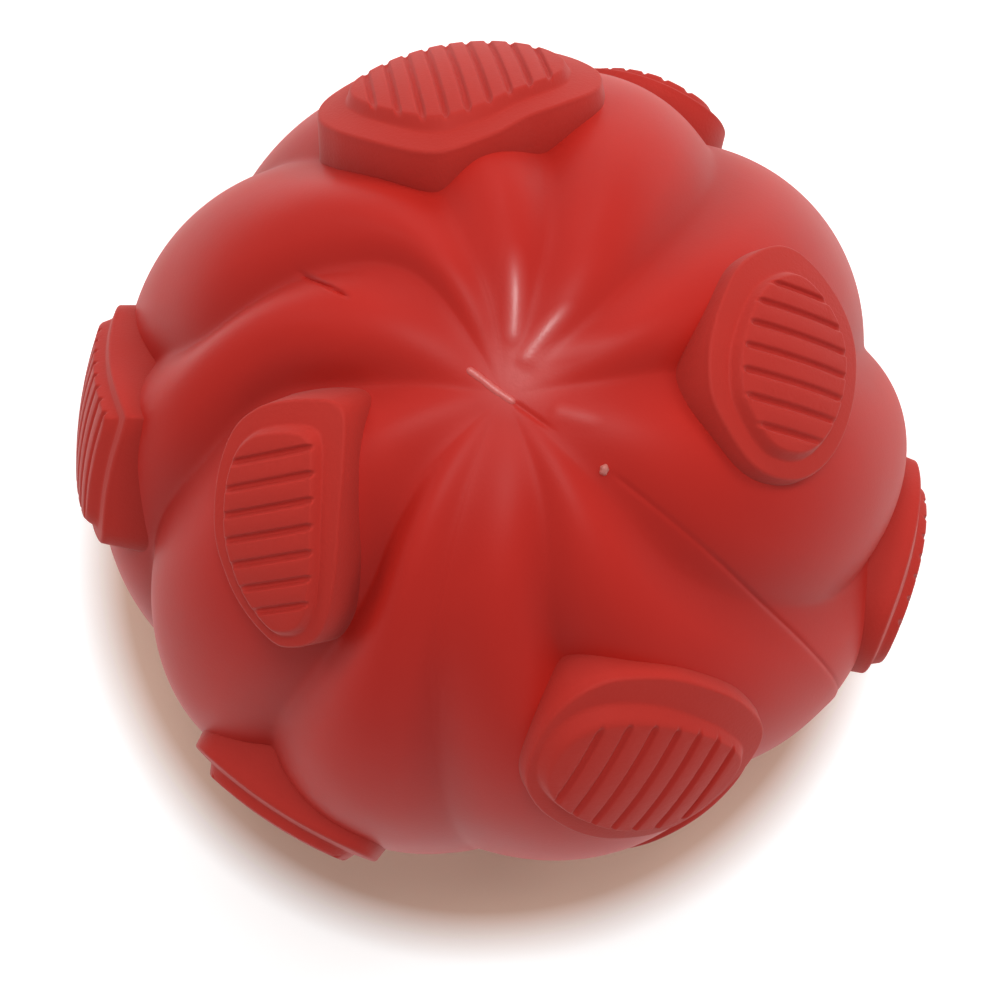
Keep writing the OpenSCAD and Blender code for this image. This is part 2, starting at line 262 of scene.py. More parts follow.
# Rows are angles from the upper eye. More rows go on from the last of these to the port
NEAR_ROW_STEP, NEAR_ROWS_END = 0.35, 40
ROW_STEP, ROWS_END = 0.5, 150
UPPER_ROWS = np.concatenate([
    np.arange(NEAR_ROW_STEP, NEAR_ROWS_END, NEAR_ROW_STEP),
    np.arange(NEAR_ROWS_END, ROWS_END, ROW_STEP),
])
PORT_ROWS = 40
CHAMBER_ROWS = 60
# Columns on either side that move with one that is snapped to a furrow
SNAP_REACH = 4

# The port's rounded lips, outside and inside, and the rows of points on them
LIP_R = 0.9
LIP_STEPS = (22.5, 45, 67.5, 90)
INNER_LIP_R = 0.6
INNER_LIP_STEPS = (30, 60, 90)
PORT_WALL_ZS = (-40.0, -38.0)
LIP_ANGLE_GUESS = 168.0
LIP_TRIES = 8
# How soft the edge of the flats is, in square millimetres
FLAT_SOFTNESS = 0.02
# Painted shade: the rubber's colour darkens from this depth under the crests, and not near the eye
PAINTED_SHADE_FROM = 0.4
PAINTED_SHADE_EYE = 14
SHELL_SMOOTH = 50


def snapped_columns(angles, turns, kept):
    """The grid's turns in each row, moved so that a column lies in every furrow."""
    grid = np.tile(turns, (len(angles), 1))
    rows = furrow_turns_at(angles)
    count = len(turns)
    hits = np.full((len(angles), FURROW_COUNT), -1)
    for i in range(len(angles)):
        for k in range(FURROW_COUNT):
            place = turns[0] + (rows[i, k] - turns[0]) % 360
            if not turns[kept] < place < turns[count - 1 - kept]:
                continue
            nearest = int(np.argmin(np.abs(turns - place)))
            shift = place - turns[nearest]
            for off in range(1 - SNAP_REACH, SNAP_REACH):
                n = nearest + off
                if kept <= n < count - kept:
                    grid[i, n] += shift * (1 - abs(off) / SNAP_REACH)
            hits[i, k] = nearest
    return grid, hits


def port_rows(turns, rim_z):
    """Rows of points round the port's lip, up its wall and round its inner lip."""
    flat = direction(EQUATOR, turns)

    def row(radius, z):
        points = flat * radius
        points[:, 2] = z
        return points

    rows = []
    for step in np.radians(LIP_STEPS):
        rows.append(row(PORT_R + LIP_R * (1 - math.sin(step)), rim_z + LIP_R * (1 - math.cos(step))))
    top_z = -math.sqrt(CHAMBER_R**2 - (PORT_R + INNER_LIP_R) ** 2)
    for z in (*PORT_WALL_ZS, top_z - INNER_LIP_R):
        rows.append(row(PORT_R, z))
    for step in np.radians(INNER_LIP_STEPS):
        radius = PORT_R + INNER_LIP_R * (1 - math.cos(step))
        rows.append(row(radius, top_z - INNER_LIP_R * (1 - math.sin(step))))
    return rows


def shell_faces(hits, rows, cols):
    """Faces of a half shell's grid. Points 0 and 1 are the outer and the inner pole."""
    def at(i, j):
        return 2 + i * cols + j

    # Cells that a furrow crosses are split along it
    split = {}
    for i in range(len(hits) - 1):
        for a, b in zip(hits[i], hits[i + 1]):
            if a >= 0 and b == a + 1:
                split[(i, a)] = [[at(i, a), at(i + 1, a), at(i + 1, b)], [at(i, a), at(i + 1, b), at(i, b)]]
            elif a >= 0 and b == a - 1:
                split[(i, b)] = [[at(i, b), at(i + 1, b), at(i, a)], [at(i, a), at(i + 1, b), at(i + 1, a)]]
    faces = []
    for i in range(rows - 1):
        for j in range(cols - 1):
            faces += split.get((i, j)) or [[at(i, j), at(i + 1, j), at(i + 1, j + 1), at(i, j + 1)]]
    faces += [[0, at(0, j), at(0, j + 1)] for j in range(cols - 1)]
    faces += [[1, at(rows - 1, j + 1), at(rows - 1, j)] for j in range(cols - 1)]
    # One face closes the half in the parting plane
    start = [at(i, 0) for i in reversed(range(rows))]
    faces.append([0] + [at(i, cols - 1) for i in range(rows)] + [1] + start)
    return faces


def build_shell_half(name, start_turn, first_side, material):
    """A half shell from start_turn on: outside, port, chamber and parting face."""
    turns = start_turn + np.concatenate([EDGE_COLUMNS, INNER_COLUMNS, (180 - EDGE_COLUMNS)[::-1]])
    cols = len(turns)
    end = np.full(cols, LIP_ANGLE_GUESS)
    for _ in range(LIP_TRIES):
        end = 180 - np.degrees(np.arcsin((PORT_R + LIP_R) / surface_r(end, turns)))
    snapped, hits = snapped_columns(UPPER_ROWS, turns, len(EDGE_COLUMNS) + 1)
    first = UPPER_ROWS[-1] + ROW_STEP
    outer_angle = np.concatenate([
        np.repeat(UPPER_ROWS[:, None], cols, 1),
        first + (end - first) * np.linspace(0, 1, PORT_ROWS)[:, None],
    ])
    # The last rows go back to even columns round the port
    back = np.linspace(1, 0, PORT_ROWS)[:, None]
    grid_turn = np.concatenate([snapped, turns + (snapped[-1] - turns) * back])
    lobed_r = surface_r(outer_angle, grid_turn)
    bead_up, polish = beads(outer_angle, grid_turn)
    r = lobed_r + bead_up
    across = r * np.sin(np.radians(outer_angle)) * math.pi / 180
    from_start = (grid_turn - start_turn) * across
    from_end = (start_turn + 180 - grid_turn) * across
    proud = first_side == SCRATCH_SIDE
    r = r + parting_shape(outer_angle, first_side, from_start, proud)
    r = r + parting_shape(outer_angle, 1 - first_side, from_end, proud)
    outer = direction(outer_angle, grid_turn) * r[..., None]
    # The flats round the port, with a soft edge
    low = outer[..., 2] + STAND_H
    outer[..., 2] = -STAND_H + 0.5 * (low + np.sqrt(low * low + FLAT_SOFTNESS))
    chamber_end = 180 - math.degrees(math.asin((PORT_R + INNER_LIP_R) / CHAMBER_R))
    chamber_angles = np.linspace(chamber_end, 0, CHAMBER_ROWS)[1:-1]
    chamber = [direction(np.full(cols, a), turns) * CHAMBER_R for a in chamber_angles]
    sheet = np.concatenate([outer, np.array(port_rows(turns, outer[-1][:, 2])), np.array(chamber)])
    poles = np.array([[0, 0, float(surface_r(0.0, 0.0))], [0, 0, CHAMBER_R]])
    points = np.concatenate([poles, sheet.reshape(-1, 3)])
    faces = shell_faces(hits, len(sheet), cols)
    obj = make_object(name, points, faces, material, SHELL_SMOOTH)
    # Painted shade: the share of the furrow depth under each point, faded out near the eye, darkens the
    # colour there
    painted_shade = (CREST_R - PAINTED_SHADE_FROM - lobed_r) / FURROW_DEPTH
    painted_shade *= 1 - np.exp(-((outer_angle / PAINTED_SHADE_EYE) ** 2))
    point_values(obj, "polished", len(poles), polish)
    obj.data.attributes["polished"].data[0].value = polish[0, 0]
    point_values(obj, "painted_shade", len(poles), painted_shade)
    return obj


# Marks on the parting line

# The flash runs from one angle to the other through the eye, which is at zero
FLASH_FROM, FLASH_TO = -5.7, 1.7
FLASH_HALF_W = 0.42
FLASH_H = 0.22
FLASH_SUNK = 0.06
FLASH_STEPS, FLASH_ROUND = 44, 12
FLASH_ENDS = 9
FLASH_LEAST = 0.0004
FLASH_SMOOTH = 60


def build_flash_streak(material):
    """The raised bead of flash that crosses the eye along the parting line."""
    points = []
    for k in range(FLASH_STEPS + 1):
        share = k / FLASH_STEPS
        signed = FLASH_FROM + (FLASH_TO - FLASH_FROM) * share
        turn = PARTING_TURN if signed > 0 else PARTING_TURN + 180
        up = direction(abs(signed), np.array(turn))
        along = direction(EQUATOR, np.array(PARTING_TURN)) * math.cos(math.radians(signed))
        along[2] = -math.sin(math.radians(signed))
        across = np.cross(up, along)
        # The ends are round, and the bead isn't quite even or straight
        end = min(share, 1 - share) * FLASH_ENDS
        size = math.sqrt(max(1 - (1 - min(end, 1)) ** 2, FLASH_LEAST))
        size *= 0.92 + 0.08 * math.sin(share * 23) * math.cos(share * 9)
        lean = 0.035 * math.sin(share * 7.5)
        base = float(surface_r(abs(signed), turn)) - FLASH_SUNK
        for m in range(FLASH_ROUND + 1):
            a = math.pi * m / FLASH_ROUND
            side = across * (FLASH_HALF_W * size * math.cos(a) + lean)
            points.append(up * (base + FLASH_H * size * math.sin(a)) + side)
    n = FLASH_ROUND + 1
    faces = [[k * n + m + 1, (k + 1) * n + m + 1, (k + 1) * n + m, k * n + m]
             for k in range(FLASH_STEPS) for m in range(FLASH_ROUND)]
    faces.append(list(range(n)))
    faces.append([FLASH_STEPS * n + m for m in reversed(range(n))])
    faces += [[k * n, k * n + FLASH_ROUND, (k + 1) * n + FLASH_ROUND, (k + 1) * n]
              for k in range(FLASH_STEPS)]
    make_object("flash_streak", points, faces, material, FLASH_SMOOTH)


NIB_ANGLE, NIB_TURN = 15.1, -36.9
NIB_R = 0.5
NIB_H = 0.46
NIB_SUNK = 0.08
NIB_RINGS, NIB_SPOKES = 9, 22
NIB_SMOOTH = 70


def build_vent_nib(material):
    """The torn stub of a mould vent, on the parting line."""
    up = direction(NIB_ANGLE, np.array(NIB_TURN))
    side = np.cross([0, 0, 1], up)
    side /= np.linalg.norm(side)
    out = np.cross(up, side)
    base = float(surface_r(NIB_ANGLE, NIB_TURN)) - NIB_SUNK
    points = []
    for k in range(NIB_RINGS):
        a = math.pi / 2 * k / (NIB_RINGS - 1)
        for m in range(NIB_SPOKES):
            b = 2 * math.pi * m / NIB_SPOKES
            # A torn rim, not quite round, and a top that leans
            radius = (NIB_R + 0.07 * math.sin(2 * b + 0.7) + 0.04 * math.sin(5 * b)) * math.cos(a) ** 0.8
            height = NIB_H * math.sin(a) * (1 + 0.22 * math.cos(b - 0.6) * math.cos(a))
            points.append(up * (base + height) + (side * math.cos(b) + out * math.sin(b)) * radius)
    faces = []
    for k in range(NIB_RINGS - 1):
        here, above = k * NIB_SPOKES, (k + 1) * NIB_SPOKES
        for m in range(NIB_SPOKES):
            n = (m + 1) % NIB_SPOKES
            faces.append([here + m, here + n, above + n, above + m])
    faces.append(list(range(NIB_SPOKES))[::-1])
    make_object("vent_nib", points, faces, material, NIB_SMOOTH)


# Pads

# Six outlines: width and length of the tread, the plinth's border and shift, the pitch of the grooves,
# and the outline as shares of the half width and half length
OVAL = dict(w=14.4, l=19.0, border=(2.8, 2.9), pitch=2.5, shift=(0.3, 0.8), shares=[
    [1, 0.28], [0.84, 0.64], [0.44, 0.93], [0.05, 1], [-0.38, 0.83], [-0.72, 0.54], [-0.98, 0.02],
    [-0.98, -0.42], [-0.78, -0.7], [-0.4, -0.95], [0, -1], [0.38, -0.9], [0.71, -0.62], [0.93, -0.19]])
NARROW = dict(w=11.8, l=19.6, border=(2.4, 2.1), pitch=2.4, shift=(-0.5, -0.5), shares=[
    [-1, -0.72], [-0.9, -0.87], [-0.6, -0.94], [-0.2, -0.97], [0.15, -0.95], [0.5, -0.82], [0.8, -0.5],
    [1, -0.05], [0.98, 0.3], [0.86, 0.62], [0.58, 0.93], [0.3, 1], [0, 0.97], [-0.25, 0.82],
    [-0.44, 0.6], [-0.6, 0.35], [-0.76, 0], [-0.9, -0.34]])
LONG = dict(w=16.0, l=22.2, border=(3.7, 2.0), pitch=2.7, shift=(-0.4, 0.4), shares=[
    [1, 0.25], [0.93, 0.6], [0.7, 0.82], [0.35, 0.94], [-0.1, 1], [-0.42, 0.95], [-0.66, 0.74],
    [-0.88, 0.38], [-1, -0.15], [-0.93, -0.58], [-0.76, -0.82], [-0.46, -0.97], [-0.1, -1],
    [0.3, -0.92], [0.6, -0.7], [0.82, -0.38], [0.96, -0.05]])
KITE = dict(w=21.6, l=23.2, border=(3.5, 3.6), pitch=2.3, shift=(0, 0), shares=[
    [-1, 0.2], [-0.96, 0.34], [-0.85, 0.49], [-0.7, 0.63], [-0.52, 0.77], [-0.3, 0.9], [0, 0.99],
    [0.34, 0.93], [0.62, 0.66], [0.82, 0.38], [0.98, 0], [0.92, -0.4], [0.62, -0.78], [0.2, -1],
    [-0.14, -0.98], [-0.36, -0.87], [-0.57, -0.63], [-0.72, -0.4], [-0.88, -0.18], [-0.97, 0.04]])
CORNERED = dict(w=15.2, l=22.4, border=(1.6, 1.8), pitch=2.4, shift=(0, 0), shares=[
    [-1, 0.86], [-0.9, 0.98], [-0.4, 1], [0.3, 1], [0.74, 0.97], [0.95, 0.82], [1, 0.4], [0.97, -0.35],
    [0.74, -0.8], [0.3, -1], [-0.3, -1], [-0.78, -0.97], [-0.96, -0.8], [-1, -0.4], [-1, 0.2]])
BROAD = dict(w=18.8, l=20.0, border=(2.8, 3.2), pitch=2.6, shift=(0, 0), shares=[
    [1, 0.5], [0.85, 0.86], [0.4, 1], [-0.4, 1], [-0.88, 0.82], [-1, 0.3], [-0.97, -0.4],
    [-0.75, -0.85], [-0.2, -1], [0.4, -0.98], [0.86, -0.75], [1, -0.2]])
# Each pad's outline, the angle and turn of its middle, and how far it is turned in its own plane
PADS = {
    "a": (OVAL, 35.4, 8.3, -14), "b": (NARROW, 30.6, -149.2, -22), "c": (LONG, 52, -68.9, -38.5),
    "d": (KITE, 48.5, 97.8, 3), "e": (CORNERED, 71, 176.6, 47.5), "f": (BROAD, 90.5, -122.3, 89),
    "g": (LONG, 87, -16.6, -16), "h": (OVAL, 88.7, 69.5, -23), "j": (LONG, 113, -63, -20),
    "k": (KITE, 122, 109, -10), "l": (OVAL, 141, -172, 10), "m": (NARROW, 141, 22, 10),
}
# How far a tread's wall runs out from top to foot, and on some pads towards the upper eye
WALL_RUN = 0.55
WALL_RUNS = {"c": 1.3, "d": 0.9}
WALL_START = 0.22
# How soft the tread's edge and its foot are
TREAD_EDGE = 0.4
TREAD_FOOT = 0.2
# A groove's flat half width, the slope of its sides, how soft its bottom and its edges are, and the
# margins between which it runs out at the tread's edge
GROOVE_FLAT = 0.18
GROOVE_SLOPE = 2.2
GROOVE_BOTTOM = 0.24
GROOVE_EDGE = 0.3
GROOVE_OUT = (-1.1, -0.3)
# Pads whose grooves end at a whole wall on the side towards the upper eye, and the share elsewhere
CLOSED_PADS = "ac"
OPEN_SHARE = 0.3
# The plinth's rounded top edge, and its wall down into the shell
EDGE_R = 0.3
WALL_DRAFT = 0.11
FOOT_MARGIN = 0.3
WALL_SUNK = 0.7
LEAST_WALL = 1.2
WALL_SHARES = np.array([0.06, 0.15, 0.28, 0.42, 0.56, 0.7, 0.85, 1.0])
PAD_SMOOTH = 42
# The mesh of a pad's top: loops at even margins round the plinth's and the tread's outlines, lines
# along each groove, and a grid between them
PLINTH_MARGINS = (0, -0.025, -0.08, -0.15, -0.22, -0.3, -0.42, -0.65)
TREAD_MARGINS = (-0.85, -0.6, -0.45, -0.34, -0.24, -0.14, -0.02, 0.1, 0.2, 0.3, 0.42, 0.56)
RUN_FROM, RUN_TO, RUN_STEP = 0.7, 0.75, 0.14
GROOVE_LINES = (-0.56, -0.45, -0.37, -0.29, -0.2, 0, 0.2, 0.29, 0.37, 0.45, 0.56)
GROOVE_LINE_POINTS = 22
GROOVE_LINE_END = 0.5
GRID_STEP = 0.9
GRID_OFF = (0.031, 0.047)
GRID_INSIDE, GRID_OUTSIDE = -1.0, 0.85
CURVE_STEPS, FINE_CURVE_STEPS = 8, 24
# The search for a point's margin, and for the lobed surface under a point
LEAST_HALF, MOST_MARGIN, MARGIN_TRIES = 0.3, 14.0, 28
SHELL_GUESS_R, SHELL_TRIES = 46.0, 6


def closed_curve(points, steps):
    p = np.asarray(points, float)
    a, b, c, d = np.roll(p, 1, 0), p, np.roll(p, -1, 0), np.roll(p, -2, 0)
    out = []
    for t in np.arange(steps) / steps:
        out.append((2 * b + (c - a) * t + (2 * a - 5 * b + 4 * c - d) * t**2
                    + (3 * b - a - 3 * c + d) * t**3) / 2)
    return np.stack(out, 1).reshape(-1, 2)


class Outline:
    """A pad's closed outline, and the others at even margins round it."""

    def __init__(self, shares, half, shift):
        self.half, self.shift = np.array(half, float), np.array(shift, float)
        self.unit = closed_curve(shares, CURVE_STEPS)
        fine = closed_curve(shares, FINE_CURVE_STEPS)
        turn = np.arctan2(fine[:, 1], fine[:, 0])
        order = np.argsort(turn)
        turn, size = turn[order], np.linalg.norm(fine, axis=1)[order]
        self.turn = np.concatenate([turn - 2 * math.pi, turn, turn + 2 * math.pi])
        self.size = np.tile(size, 3)

    def loop(self, margin):
        """The outline at a margin, which may be one number or one for each point."""
        return self.unit * (self.half + np.asarray(margin, float).reshape(-1, 1)) + self.shift

    def margin(self, uv):
        """The margin at which the outline passes through each point."""
        p = uv - self.shift
        low, high = np.full(len(p), LEAST_HALF - self.half.min()), np.full(len(p), MOST_MARGIN)
        for _ in range(MARGIN_TRIES):
            mid = (low + high) / 2
            x, y = p[:, 0] / (self.half[0] + mid), p[:, 1] / (self.half[1] + mid)
            outside = np.hypot(x, y) > np.interp(np.arctan2(y, x), self.turn, self.size)
            low, high = np.where(outside, mid, low), np.where(outside, high, mid)
        return (low + high) / 2


def soft_max(a, b, reach):
    h = np.maximum(reach - np.abs(a - b), 0) / reach
    return np.maximum(a, b) + h * h * reach / 4


def soft_min(a, b, reach):
    return -soft_max(-a, -b, reach)


def groove_places(kind):
    half = math.floor((kind["l"] / 2 - GROOVE_W) / kind["pitch"])
    return np.arange(-half, half + 1) * kind["pitch"]


def pad_frame(angle, turn, lean):
    return (Matrix.Rotation(math.radians(turn), 3, "Z") @ Matrix.Rotation(math.radians(angle), 3, "Y")
            @ Matrix.Rotation(math.radians(lean), 3, "Z"))


def shell_height(uv, turned):
    """Height of the lobed surface over each point of the pad's own plane."""
    size = (uv**2).sum(1)
    z = np.sqrt(SHELL_GUESS_R**2 - size)
    for _ in range(SHELL_TRIES):
        angle, turn = angles_of(np.column_stack([uv, z]) @ turned.T)
        r = surface_r(angle, turn)
        z = np.sqrt(np.maximum(r * r - size, 1.0))
    return z


def eye_side(lean, uv):
    """1 at points straight towards the upper eye from a pad's middle, down to 0 at its sides."""
    inward = -(uv[:, 0] * math.cos(math.radians(lean)) - uv[:, 1] * math.sin(math.radians(lean)))
    return np.clip(inward / np.maximum(np.hypot(uv[:, 0], uv[:, 1]), 0.1), 0, 1) ** 2


def extra_run(letter):
    """How much further a pad's tread wall runs out towards the upper eye than elsewhere."""
    return WALL_RUNS.get(letter, WALL_RUN) - WALL_RUN


def pad_height(letter, kind, lean, tread_line, plinth_line, uv):
    """Height of a pad's top over each point of its own plane."""
    size = (uv**2).sum(1)
    plinth = np.sqrt(PLINTH_R**2 - size)
    tread = np.sqrt(TREAD_R**2 - size)
    inner = eye_side(lean, uv)
    margin = tread_line.margin(uv)
    run = WALL_RUN + extra_run(letter) * inner
    wall = plinth + TREAD_H - (margin + WALL_START) * TREAD_H / run
    tread = soft_min(tread, wall, TREAD_EDGE)
    away = np.min(np.abs(uv[:, 1][:, None] - groove_places(kind)[None, :]), axis=1)
    floor = np.sqrt((TREAD_R - GROOVE_D) ** 2 - size)
    # A groove runs out just inside the tread's edge
    closed = OPEN_SHARE + (1 - OPEN_SHARE) * inner * (letter in CLOSED_PADS)
    floor = floor + closed * GROOVE_D * fade(margin, *GROOVE_OUT)
    groove = soft_max(floor, floor + (away - GROOVE_FLAT) * GROOVE_SLOPE, GROOVE_BOTTOM)
    tread = soft_min(tread, groove, GROOVE_EDGE)
    top = soft_max(plinth, tread, TREAD_FOOT)
    # The plinth's top edge is rounded
    inside = np.clip(plinth_line.margin(uv) + EDGE_R, 0, EDGE_R)
    return top - EDGE_R + np.sqrt(np.maximum(EDGE_R**2 - inside**2, 0))


def pad_plan(kind, half, wide, tread_line, plinth_line):
    """Points and edges of a pad's top in its own plane. The plinth's outline comes first."""
    loops = [plinth_line.loop(margin) for margin in PLINTH_MARGINS]
    loops += [tread_line.loop(margin) for margin in TREAD_MARGINS]
    if wide > 0:
        loops += [tread_line.loop(margin) for margin in np.arange(RUN_FROM, RUN_TO + wide, RUN_STEP)]
    points, edges = [], []
    for ring in loops:
        first, n = len(points), len(ring)
        points += ring.tolist()
        edges += [(first + k, first + (k + 1) % n) for k in range(n)]
    reach = half[0] + GROOVE_LINE_END
    for place in groove_places(kind):
        for off in GROOVE_LINES:
            first, n = len(points), GROOVE_LINE_POINTS
            line = np.column_stack([np.linspace(-reach, reach, n), np.full(n, place + off)])
            line = line[tread_line.margin(line) < GROOVE_LINE_END]
            points += line.tolist()
            edges += [(first + k, first + k + 1) for k in range(len(line) - 1)]
    span = half + np.array(kind["border"]) + 1
    gu, gv = np.meshgrid(np.arange(-span[0], span[0], GRID_STEP), np.arange(-span[1], span[1], GRID_STEP))
    grid = np.column_stack([gu.ravel() + GRID_OFF[0], gv.ravel() + GRID_OFF[1]])
    from_tread, from_plinth = tread_line.margin(grid), plinth_line.margin(grid)
    clear = (from_tread < GRID_INSIDE) | (from_tread > GRID_OUTSIDE + wide)
    points += grid[(from_plinth < -GRID_STEP) & clear].tolist()
    return points, edges, len(loops[0])


def build_pad(letter, kind, angle, turn, lean, material):
    turned = np.array(pad_frame(angle, turn, lean))
    half = np.array([kind["w"] / 2, kind["l"] / 2])
    tread_line = Outline(kind["shares"], half, (0, 0))
    plinth_line = Outline(kind["shares"], half + np.array(kind["border"]), kind["shift"])
    points, edges, rim = pad_plan(kind, half, extra_run(letter), tread_line, plinth_line)
    result = delaunay_2d_cdt([Vector(p) for p in points], edges, [list(range(rim))], 1, 1e-5)
    uv = np.array([list(v) for v in result[0]])
    faces = [list(f) for f in result[2]]
    top = np.column_stack([uv, pad_height(letter, kind, lean, tread_line, plinth_line, uv)])
    origin = {k: n for n, ks in enumerate(result[3]) for k in ks}
    before = [origin[k] for k in range(rim)]
    # The wall goes down into the shell, a little wider as it goes
    edge_z = top[before][:, 2]
    foot_z = shell_height(plinth_line.loop(FOOT_MARGIN), turned)
    drop = np.maximum(edge_z - foot_z + WALL_SUNK, LEAST_WALL)
    rows = [top]
    for share in WALL_SHARES:
        down = drop * share
        rows.append(np.column_stack([plinth_line.loop(down * WALL_DRAFT), edge_z - down]))
    for k in range(len(WALL_SHARES)):
        now = [len(top) + k * rim + i for i in range(rim)]
        faces += [[before[i], now[i], now[(i + 1) % rim], before[(i + 1) % rim]] for i in range(rim)]
        before = now
    faces.append(before[::-1])
    points = np.concatenate(rows) @ turned.T
    obj = make_object(f"pad_{letter}", points, faces, material, PAD_SMOOTH)
    # Painted shade: the wall's colour darkens from its top down to its foot
    point_values(obj, "painted_shade", len(top), np.repeat(WALL_SHARES, rim))
    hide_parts(f"tread_pad_{letter}")


# Materials

# Broad mottling, smears and fine grain of the rubber, as scales of noise
BROAD_SCALE, SMEAR_SCALE, GRAIN_SCALE = 38, 240, 2600
MOTTLE_STOPS = (0.3, 0.72)
SMEAR_BUMP, SMEAR_M, GRAIN_M = 0.25, 0.00006, 0.00005
# The colour that the painted shade multiplies in, and the shares over which the painted shade and the
# polish come in
PAINTED_SHADE_TINT = (0.74, 0.7, 0.68, 1)
PAINTED_SHADE_SPAN, POLISH_SPAN = (0.15, 1), (0.05, 1)
POLISH_SMOOTHS = -0.12
POLISHED_SPECULAR = 0.9
SHEEN_ROUGHNESS = 0.45
SHEEN_TINT = (1.0, 0.9, 0.86, 1)


def new_material(name):
    material = bpy.data.materials.new(name)
    material.use_nodes = True
    nodes, links = material.node_tree.nodes, material.node_tree.links
    shader = nodes["Principled BSDF"]
    place = nodes.new("ShaderNodeTexCoord").outputs["Object"]
    return material, nodes, links, shader, place


def noise_node(nodes, links, place, scale, detail, roughness=0.5):
    node = nodes.new("ShaderNodeTexNoise")
    node.inputs["Scale"].default_value = scale
    node.inputs["Detail"].default_value = detail
    node.inputs["Roughness"].default_value = roughness
    links.new(place, node.inputs["Vector"])
    return node.outputs["Fac"]


def ramp_node(nodes, links, value, stops):
    node = nodes.new("ShaderNodeValToRGB")
    for stop, (place, colour) in zip(node.color_ramp.elements, stops):
        stop.position = place
        stop.color = (*colour, 1)
    links.new(value, node.inputs["Fac"])
    return node.outputs["Color"]


def range_node(nodes, links, value, low, high, span=(0.3, 0.7)):
    node = nodes.new("ShaderNodeMapRange")
    node.inputs["From Min"].default_value = span[0]
    node.inputs["From Max"].default_value = span[1]
    node.inputs["To Min"].default_value = low
    node.inputs["To Max"].default_value = high
    links.new(value, node.inputs["Value"])
    return node.outputs["Result"]


def attribute_node(nodes, name):
    node = nodes.new("ShaderNodeAttribute")
    node.attribute_name = name
    return node.outputs["Fac"]


def bump_node(nodes, links, value, strength, distance, before=None):
    node = nodes.new("ShaderNodeBump")
    node.inputs["Strength"].default_value = strength
    node.inputs["Distance"].default_value = distance
    links.new(value, node.inputs["Height"])
    if before is not None:
        links.new(before, node.inputs["Normal"])
    return node.outputs["Normal"]


def rubber(name, dark, light, rough, grain_bump, sheen, specular):
    material, nodes, links, shader, place = new_material(name)
    broad = noise_node(nodes, links, place, BROAD_SCALE, 3)
    grain = noise_node(nodes, links, place, GRAIN_SCALE, 2, 0.6)
    # Painted shade: the rubber's colour is darkened down in the furrows and towards the foot of a wall,
    # where shade falls
    shade = nodes.new("ShaderNodeMix")
    shade.data_type = "RGBA"
    shade.blend_type = "MULTIPLY"
    painted_shade = attribute_node(nodes, "painted_shade")
    mottle = ramp_node(nodes, links, broad, zip(MOTTLE_STOPS, (dark, light)))
    links.new(range_node(nodes, links, painted_shade, 0, 1, PAINTED_SHADE_SPAN), shade.inputs["Factor"])
    links.new(mottle, shade.inputs[6])
    shade.inputs[7].default_value = PAINTED_SHADE_TINT
    links.new(shade.outputs[2], shader.inputs["Base Color"])
    # It is smoother where it is polished
    polish = range_node(nodes, links, attribute_node(nodes, "polished"), 0, 1, POLISH_SPAN)
    smooth = nodes.new("ShaderNodeMath")
    smooth.operation = "MULTIPLY_ADD"
    smooth.use_clamp = True
    links.new(polish, smooth.inputs[0])
    smooth.inputs[1].default_value = POLISH_SMOOTHS
    links.new(range_node(nodes, links, broad, *rough), smooth.inputs[2])
    links.new(smooth.outputs[0], shader.inputs["Roughness"])
    shine = range_node(nodes, links, polish, specular, POLISHED_SPECULAR, (0, 1))
    links.new(shine, shader.inputs["Specular IOR Level"])
    smear = noise_node(nodes, links, place, SMEAR_SCALE, 4)
    smeared = bump_node(nodes, links, smear, SMEAR_BUMP, SMEAR_M)
    links.new(bump_node(nodes, links, grain, grain_bump, GRAIN_M, smeared), shader.inputs["Normal"])
    shader.inputs["Sheen Weight"].default_value = sheen
    shader.inputs["Sheen Roughness"].default_value = SHEEN_ROUGHNESS
    shader.inputs["Sheen Tint"].default_value = SHEEN_TINT
    return material


shell_rubber = rubber("shell_rubber", (0.53, 0.019, 0.012), (0.59, 0.025, 0.016), (0.42, 0.52), 0.25,
                      sheen=0.02, specular=0.22)
pad_rubber = rubber("pad_rubber", (0.51, 0.026, 0.017), (0.57, 0.032, 0.021), (0.6, 0.72), 0.7,
                    sheen=0.12, specular=0.3)
flash_rubber = rubber("flash_rubber", (0.60, 0.05, 0.04), (0.68, 0.13, 0.11), (0.36, 0.44), 0.2,
                      sheen=0.1, specular=0.9)
nib_rubber = rubber("nib_rubber", (0.55, 0.12, 0.10), (0.66, 0.25, 0.21), (0.3, 0.45), 0.5,
                    sheen=0.1, specular=0.5)

shell_a = build_shell_half("shell_a", PARTING_TURN, NIB_SIDE, shell_rubber)
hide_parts("shell_half_a")
shell_b = build_shell_half("shell_b", PARTING_TURN + 180, SCRATCH_SIDE, shell_rubber)
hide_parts("shell_half_b")
build_flash_streak(flash_rubber)
build_vent_nib(nib_rubber)
for letter, (kind, angle, turn, lean) in PADS.items():
    build_pad(letter, kind, angle, turn, lean, pad_rubber)


# Floor, light and camera, in metres

FLOOR_HALF = 3.0
FLOOR_ROUGHNESS = 0.6
FLOOR_WHITE = (0.9, 0.895, 0.885)
FLOOR_LIFT = 0.5
# The painted shadow, a warm tint round the ball: its colour, where its middle lies, and where it fades out
PAINTED_SHADOW_TINT = (0.9, 0.64, 0.5)
PAINTED_SHADOW_AT = (-0.003, -0.005)
PAINTED_SHADOW_FADE = (0.0525, 0.06)
WHITE_FROM = 0.9

LAMP_D = 0.22
